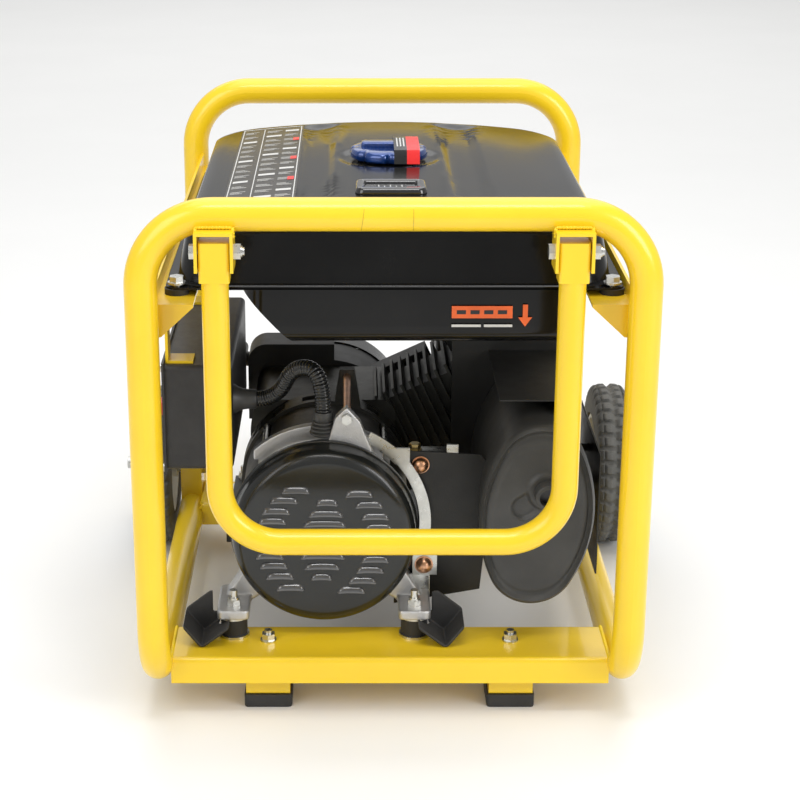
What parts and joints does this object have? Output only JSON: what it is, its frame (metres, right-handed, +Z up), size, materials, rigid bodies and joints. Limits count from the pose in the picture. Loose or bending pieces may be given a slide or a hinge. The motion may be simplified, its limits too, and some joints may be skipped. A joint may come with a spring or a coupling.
{
  "type": "portable generator",
  "caption": "Open-frame portable generator: tube frame, tank on top, inclined engine, end-mounted alternator, side muffler, wheels and folding tow handle.",
  "frame": {"origin": "middle of the overall box, on the floor", "axes": "+Z up, -Y the end with the tow handle and alternator cover, +X the muffler side"},
  "size_m": [0.644, 0.729, 0.556],
  "materials": {
    "yellow_paint": "satin powder coat",
    "black_rubber": "moulded rubber",
    "zinc_steel": "zinc-plated steel",
    "tyre_rubber": "treaded tyre",
    "rim_paint": "silver paint",
    "black_paint": "gloss black enamel",
    "cast_aluminium": "as-cast aluminium",
    "plain_steel": "bare electrical steel",
    "engine_casting": "dark cast aluminium",
    "dark_paint": "heat-proof satin black",
    "cast_iron": "machined cast iron",
    "black_plastic": "matte black plastic",
    "rope": "braided starter rope",
    "blue_cap": "glossy blue",
    "gloss_black": "glossy black plastic",
    "red_plastic": "glossy red"
  },
  "bodies": {
    "chassis": {"front_hoop": "yellow_paint", "rear_hoop": "yellow_paint", "base_rails": "yellow_paint", "cross_members": "yellow_paint", "side_rails": "yellow_paint", "rubber_feet": "black_rubber", "frame_bolts": "zinc_steel", "wheel_axles": "zinc_steel", "alternator_end_cover": "black_paint", "alternator_end_bracket": "cast_aluminium", "alternator_stator": "plain_steel", "alternator_adaptor": "cast_aluminium", "alternator_stay": "zinc_steel", "crankcase": "engine_casting", "cylinder_block": "engine_casting", "cylinder_head": "engine_casting", "rocker_cover": "black_paint", "spark_plug_cap": "black_rubber", "engine_base": "dark_paint", "engine_bolts": "zinc_steel", "rubber_mounts": "black_rubber", "mount_hoods": "black_rubber", "fan_shroud": "black_paint", "recoil_housing": "black_paint", "muffler_body": "dark_paint", "muffler_end_cap": "dark_paint", "muffler_plate": "dark_paint", "heat_shield": "dark_paint", "exhaust_pipe": "plain_steel", "fuel_tank_upper": "black_paint", "fuel_tank_lower": "black_paint", "fuel_gauge": "gloss_black", "fuel_tap": "cast_aluminium", "fuel_hose": "black_rubber", "carburettor": "cast_aluminium", "air_filter_housing": "black_plastic", "air_filter_cover": "black_plastic", "wiring_conduit": "black_plastic", "conduit_boots": "black_rubber", "panel_box": "black_plastic", "panel_plate": "black_plastic", "panel_fittings": "black_plastic"},
    "handle": {"tow_handle": "yellow_paint"},
    "left_wheel": {"left_tyre": "tyre_rubber", "left_rim": "rim_paint"},
    "right_wheel": {"right_tyre": "tyre_rubber", "right_rim": "rim_paint"},
    "rotor": {"crankshaft": "plain_steel", "alternator_rotor": "plain_steel", "flywheel_fan": "cast_iron"},
    "filler_seal": {"cap_seal": "black_rubber"},
    "filler_cap": {"fuel_cap": "blue_cap"},
    "starter_grip": {"recoil_grip": "black_plastic", "recoil_rope": "rope"},
    "starter_reel": {"recoil_reel": "black_plastic"},
    "tap_lever": {"fuel_tap_lever": "zinc_steel"},
    "choke": {"choke_lever": "zinc_steel"},
    "switch": {"engine_switch": "red_plastic"},
    "breaker": {"breaker_button": "red_plastic"},
    "oil_dipstick": {"dipstick": "black_plastic"}
  },
  "joints": [
    {"name": "handle_swing", "type": "hinge", "parent": "chassis", "child": "handle", "pos_m": [0, -0.3495, 0.508], "axis": [-1, 0, 0], "range_deg": [0, 90]},
    {"name": "left_wheel_spin", "type": "hinge", "parent": "chassis", "child": "left_wheel", "pos_m": [-0.2825, 0.1715, 0.0997], "axis": [1, 0, 0], "continuous": true},
    {"name": "right_wheel_spin", "type": "hinge", "parent": "chassis", "child": "right_wheel", "pos_m": [0.2825, 0.1715, 0.0997], "axis": [1, 0, 0], "continuous": true},
    {"name": "rotor_spin", "type": "hinge", "parent": "chassis", "child": "rotor", "pos_m": [-0.0686, 0, 0.177], "axis": [0, 1, 0], "continuous": true},
    {"name": "cap_lift", "type": "slide", "parent": "chassis", "child": "filler_seal", "axis": [0, 0, 1], "range_m": [0, 0.06]},
    {"name": "cap_turn", "type": "hinge", "parent": "filler_seal", "child": "filler_cap", "pos_m": [0.002, 0.0255, 0.53], "axis": [0, 0, 1], "range_deg": [0, 90]},
    {"name": "starter_pull", "type": "slide", "parent": "chassis", "child": "starter_grip", "axis": [-0.9659, 0, 0.2588], "range_m": [0, 0.15], "stiffness_N_per_m": 60},
    {"name": "reel_turn", "type": "hinge", "parent": "chassis", "child": "starter_reel", "pos_m": [-0.0686, 0.1635, 0.177], "axis": [0, -1, 0], "range_deg": [0, 250]},
    {"name": "tap_turn", "type": "hinge", "parent": "chassis", "child": "tap_lever", "pos_m": [0.1635, 0.0905, 0.372], "axis": [1, 0, 0], "range_deg": [0, 90]},
    {"name": "choke_turn", "type": "hinge", "parent": "chassis", "child": "choke", "pos_m": [0.13, 0.0855, 0.278], "axis": [1, 0, 0], "range_deg": [0, 60]},
    {"name": "switch_turn", "type": "hinge", "parent": "chassis", "child": "switch", "pos_m": [-0.24, -0.1375, 0.282], "axis": [-1, 0, 0], "range_deg": [0, 90]},
    {"name": "breaker_press", "type": "slide", "parent": "chassis", "child": "breaker", "axis": [1, 0, 0], "range_m": [0, 0.004], "stiffness_N_per_m": 500},
    {"name": "dipstick_draw", "type": "slide", "parent": "chassis", "child": "oil_dipstick", "axis": [0.908, 0, 0.4191], "range_m": [0, 0.06]}
  ],
  "couplings": [
    {"joint": "reel_turn", "follows": "starter_pull", "rad_per_m": 28.571}
  ]
}
